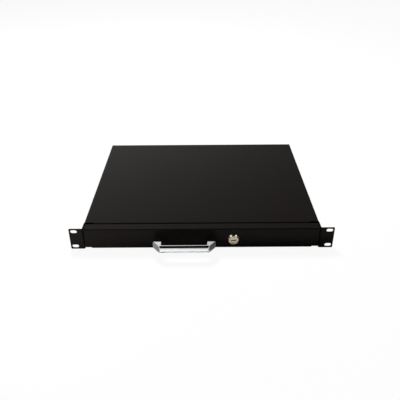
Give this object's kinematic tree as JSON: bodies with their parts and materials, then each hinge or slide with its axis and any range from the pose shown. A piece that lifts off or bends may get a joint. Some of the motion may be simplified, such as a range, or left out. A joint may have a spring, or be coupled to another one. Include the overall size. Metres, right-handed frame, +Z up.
{
  "type": "rack drawer",
  "caption": "Lockable pull-out drawer for an equipment rack, with folded steel housing, ear brackets, ball bearing slides, bridge handle and cam lock.",
  "frame": {"origin": "centre of the four slots in the ears, on the ears' rear face, which bears on the rack's front rails", "axes": "+X to the right seen from the front, -Y out of the rack towards the user, +Z up"},
  "size_m": [0.4826, 0.4058, 0.0436],
  "materials": {
    "black_steel": "semi-gloss black powder coat",
    "slide_steel": "bright zinc plate",
    "ball_steel": "polished bearing steel",
    "chrome_cast": "polished chrome plate on zinc",
    "nickel_lock": "satin nickel plate",
    "zinc_screw": "zinc plated",
    "black_screw": "black oxide",
    "stop_rubber": "matte"
  },
  "bodies": {
    "housing": {"chassis_pan": "black_steel", "top_cover": "black_steel", "ear_bracket_left": "black_steel", "ear_bracket_right": "black_steel", "ear_screws": "black_screw", "cover_screws": "black_screw", "slide_outer_left": "slide_steel", "slide_outer_right": "slide_steel", "slide_wall_screws": "zinc_screw", "slide_bumpers": "stop_rubber"},
    "drawer": {"slide_inner_left": "slide_steel", "slide_inner_right": "slide_steel", "slide_tray_screws": "zinc_screw", "drawer_tray": "black_steel", "drawer_front": "black_steel", "front_nuts": "zinc_screw", "pull_handle": "chrome_cast", "handle_screws": "zinc_screw", "lock_body": "nickel_lock", "lock_washer": "zinc_screw", "lock_nut": "zinc_screw"},
    "middle_left": {"slide_middle_left": "slide_steel"},
    "middle_right": {"slide_middle_right": "slide_steel"},
    "outer_balls_left": {"ball_cage_outer_left": "zinc_screw", "balls_outer_left": "ball_steel"},
    "outer_balls_right": {"ball_cage_outer_right": "zinc_screw", "balls_outer_right": "ball_steel"},
    "inner_balls_left": {"ball_cage_inner_left": "zinc_screw", "balls_inner_left": "ball_steel"},
    "inner_balls_right": {"ball_cage_inner_right": "zinc_screw", "balls_inner_right": "ball_steel"},
    "lock_core": {"lock_plug": "nickel_lock", "lock_stop_ring": "zinc_screw", "lock_cam": "zinc_screw", "cam_screw": "zinc_screw"}
  },
  "joints": [
    {"name": "drawer_slide", "type": "slide", "parent": "housing", "child": "drawer", "axis": [0, -1, 0], "range_m": [0, 0.3]},
    {"name": "middle_left_slide", "type": "slide", "parent": "housing", "child": "middle_left", "axis": [0, -1, 0], "range_m": [0, 0.15]},
    {"name": "middle_right_slide", "type": "slide", "parent": "housing", "child": "middle_right", "axis": [0, -1, 0], "range_m": [0, 0.15]},
    {"name": "outer_balls_left_slide", "type": "slide", "parent": "housing", "child": "outer_balls_left", "axis": [0, -1, 0], "range_m": [0, 0.075]},
    {"name": "outer_balls_right_slide", "type": "slide", "parent": "housing", "child": "outer_balls_right", "axis": [0, -1, 0], "range_m": [0, 0.075]},
    {"name": "inner_balls_left_slide", "type": "slide", "parent": "housing", "child": "inner_balls_left", "axis": [0, -1, 0], "range_m": [0, 0.225]},
    {"name": "inner_balls_right_slide", "type": "slide", "parent": "housing", "child": "inner_balls_right", "axis": [0, -1, 0], "range_m": [0, 0.225]},
    {"name": "lock_turn", "type": "hinge", "parent": "drawer", "child": "lock_core", "pos_m": [0.058, 0, 0], "axis": [0, 1, 0], "range_deg": [0, 90]}
  ],
  "couplings": [
    {"joint": "middle_left_slide", "follows": "drawer_slide", "ratio": 0.5},
    {"joint": "middle_right_slide", "follows": "drawer_slide", "ratio": 0.5},
    {"joint": "outer_balls_left_slide", "follows": "drawer_slide", "ratio": 0.25},
    {"joint": "outer_balls_right_slide", "follows": "drawer_slide", "ratio": 0.25},
    {"joint": "inner_balls_left_slide", "follows": "drawer_slide", "ratio": 0.75},
    {"joint": "inner_balls_right_slide", "follows": "drawer_slide", "ratio": 0.75}
  ]
}
